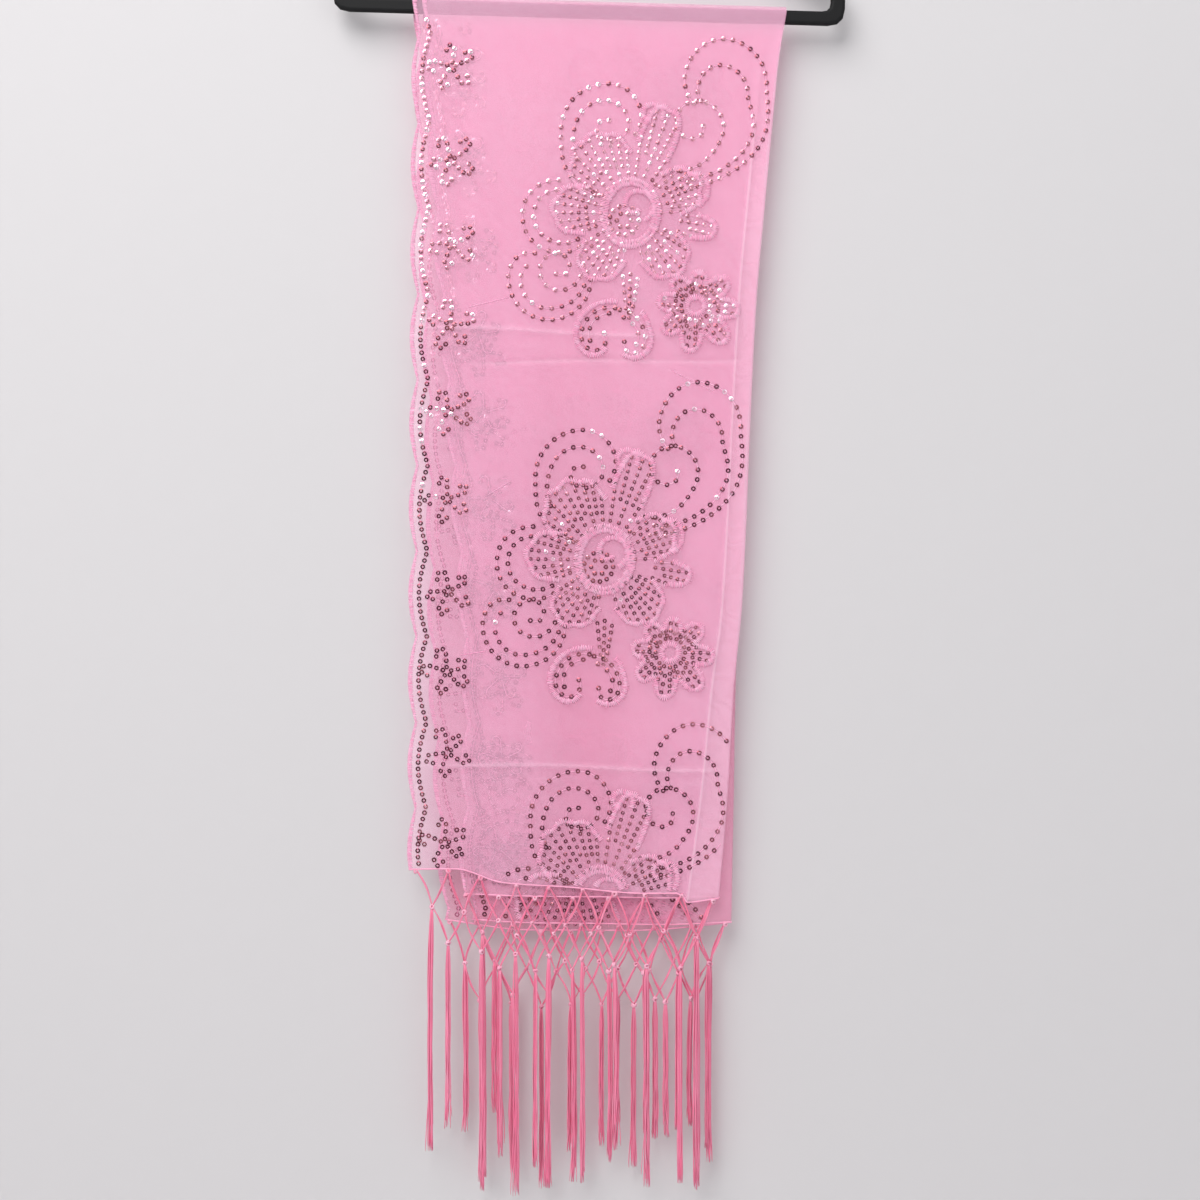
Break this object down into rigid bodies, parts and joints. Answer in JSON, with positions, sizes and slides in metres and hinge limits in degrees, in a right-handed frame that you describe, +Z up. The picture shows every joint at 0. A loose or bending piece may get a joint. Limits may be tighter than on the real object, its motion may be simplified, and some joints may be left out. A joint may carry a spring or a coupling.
{
  "type": "shawl on a hanger",
  "caption": "Sheer embroidered and sequinned shawl with scalloped edges and knotted fringe, folded lengthwise over the bar of a plain hanger.",
  "frame": {"origin": "inside of the hook's crown, the point that rests on a rail or peg", "axes": "+Z up, front of the shawl towards -Y, +X to the right as seen from the front, where the fold is"},
  "size_m": [0.42, 0.0198, 1.1836],
  "materials": {
    "hanger": "matte black",
    "hook": "satin black wire",
    "cloth": "sheer pink organza",
    "fringe": "silky deep pink thread",
    "sequins": "mirror-like plum sequins",
    "embroidery": "satin-stitched pink thread"
  },
  "bodies": {
    "root": {"hanger_frame": "hanger", "hanger_hook": "hook", "shawl_cloth": "cloth", "fringe_front": "fringe", "fringe_back": "fringe"}
  },
  "joints": []
}
